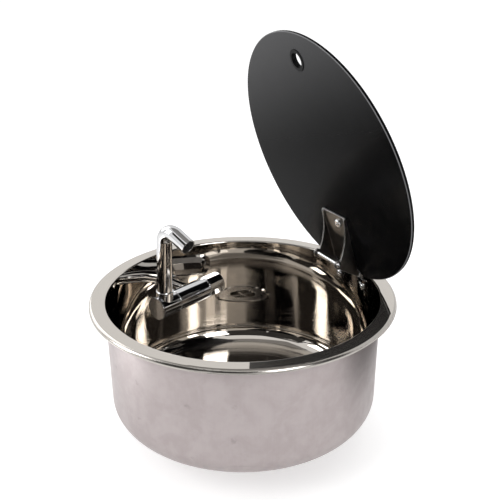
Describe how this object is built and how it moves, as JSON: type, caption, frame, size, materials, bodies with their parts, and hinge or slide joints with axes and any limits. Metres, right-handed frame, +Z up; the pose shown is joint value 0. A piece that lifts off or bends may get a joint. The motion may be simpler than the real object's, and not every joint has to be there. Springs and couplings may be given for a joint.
{
  "type": "camper sink",
  "caption": "Round drop-in steel sink with a flat polished rim, a hinged black glass lid, a folding swivel tap on its inner wall and a waste in the floor.",
  "frame": {"origin": "centre of the sink on the worktop plane, under the rim seal", "axes": "+Z up along the bowl's axis, +Y from the centre to the lid's hinge, X along the hinge"},
  "size_m": [0.4336, 0.4198, 0.569],
  "materials": {
    "steel": "polished inside, dull outside",
    "chrome": "polished",
    "black_glass": "satin black, opaque",
    "rubber": "matt",
    "black_plastic": "satin",
    "white_plastic": "satin",
    "brass": "turned",
    "spring_steel": "satin"
  },
  "bodies": {
    "sink": {"bowl": "steel", "rim_seal": "rubber", "waste_flange": "chrome", "waste_seal": "rubber", "waste_washer": "rubber", "waste_nut": "black_plastic", "tap_stem": "chrome", "tap_rosette": "chrome", "tap_inner_gasket": "rubber", "tap_outer_gasket": "rubber", "tap_nut": "brass", "tap_body": "chrome", "valve_cartridge": "white_plastic", "knob_ring": "chrome", "fold_journal": "brass", "fold_rings": "rubber", "fold_clip": "spring_steel", "hinge_base": "chrome", "hinge_pin": "spring_steel", "friction_washers": "black_plastic", "base_screws": "chrome", "base_nuts": "spring_steel"},
    "lid": {"lid_glass": "black_glass", "lid_grommet": "black_plastic", "hinge_arm": "chrome", "cross_bar": "chrome", "cross_bar_screws": "chrome", "lid_screw": "chrome", "lid_pad": "black_plastic", "lid_bush": "black_plastic", "lid_cap": "chrome"},
    "hub": {"spout_hub": "chrome", "hub_cap": "chrome", "spout_collar": "chrome"},
    "spout": {"spout_tube": "chrome", "swivel_ring": "rubber", "spout_aerator": "black_plastic"},
    "handle": {"knob": "chrome", "valve_spindle": "brass", "knob_screw": "spring_steel", "knob_cap": "chrome"}
  },
  "joints": [
    {"name": "lid_hinge", "type": "hinge", "parent": "sink", "child": "lid", "pos_m": [0, 0.1802, 0.003], "axis": [1, 0, 0], "range_deg": [0, 72.9]},
    {"name": "spout_fold", "type": "hinge", "parent": "sink", "child": "hub", "pos_m": [-0.12236, -0.03929, -0.046], "axis": [-0.3057, 0.9521, 0], "range_deg": [0, 86.8]},
    {"name": "spout_swivel", "type": "hinge", "parent": "hub", "child": "spout", "pos_m": [-0.1127, -0.06937, -0.046], "axis": [0.0531, 0.0171, 0.9984], "range_deg": [-75, 75]},
    {"name": "knob_turn", "type": "hinge", "parent": "sink", "child": "handle", "pos_m": [-0.12236, -0.03929, -0.046], "axis": [-0.3057, 0.9521, 0], "range_deg": [0, 90]}
  ],
  "couplings": [
    {"joint": "spout_fold", "follows": "lid_hinge", "ratio": 1.1907}
  ]
}
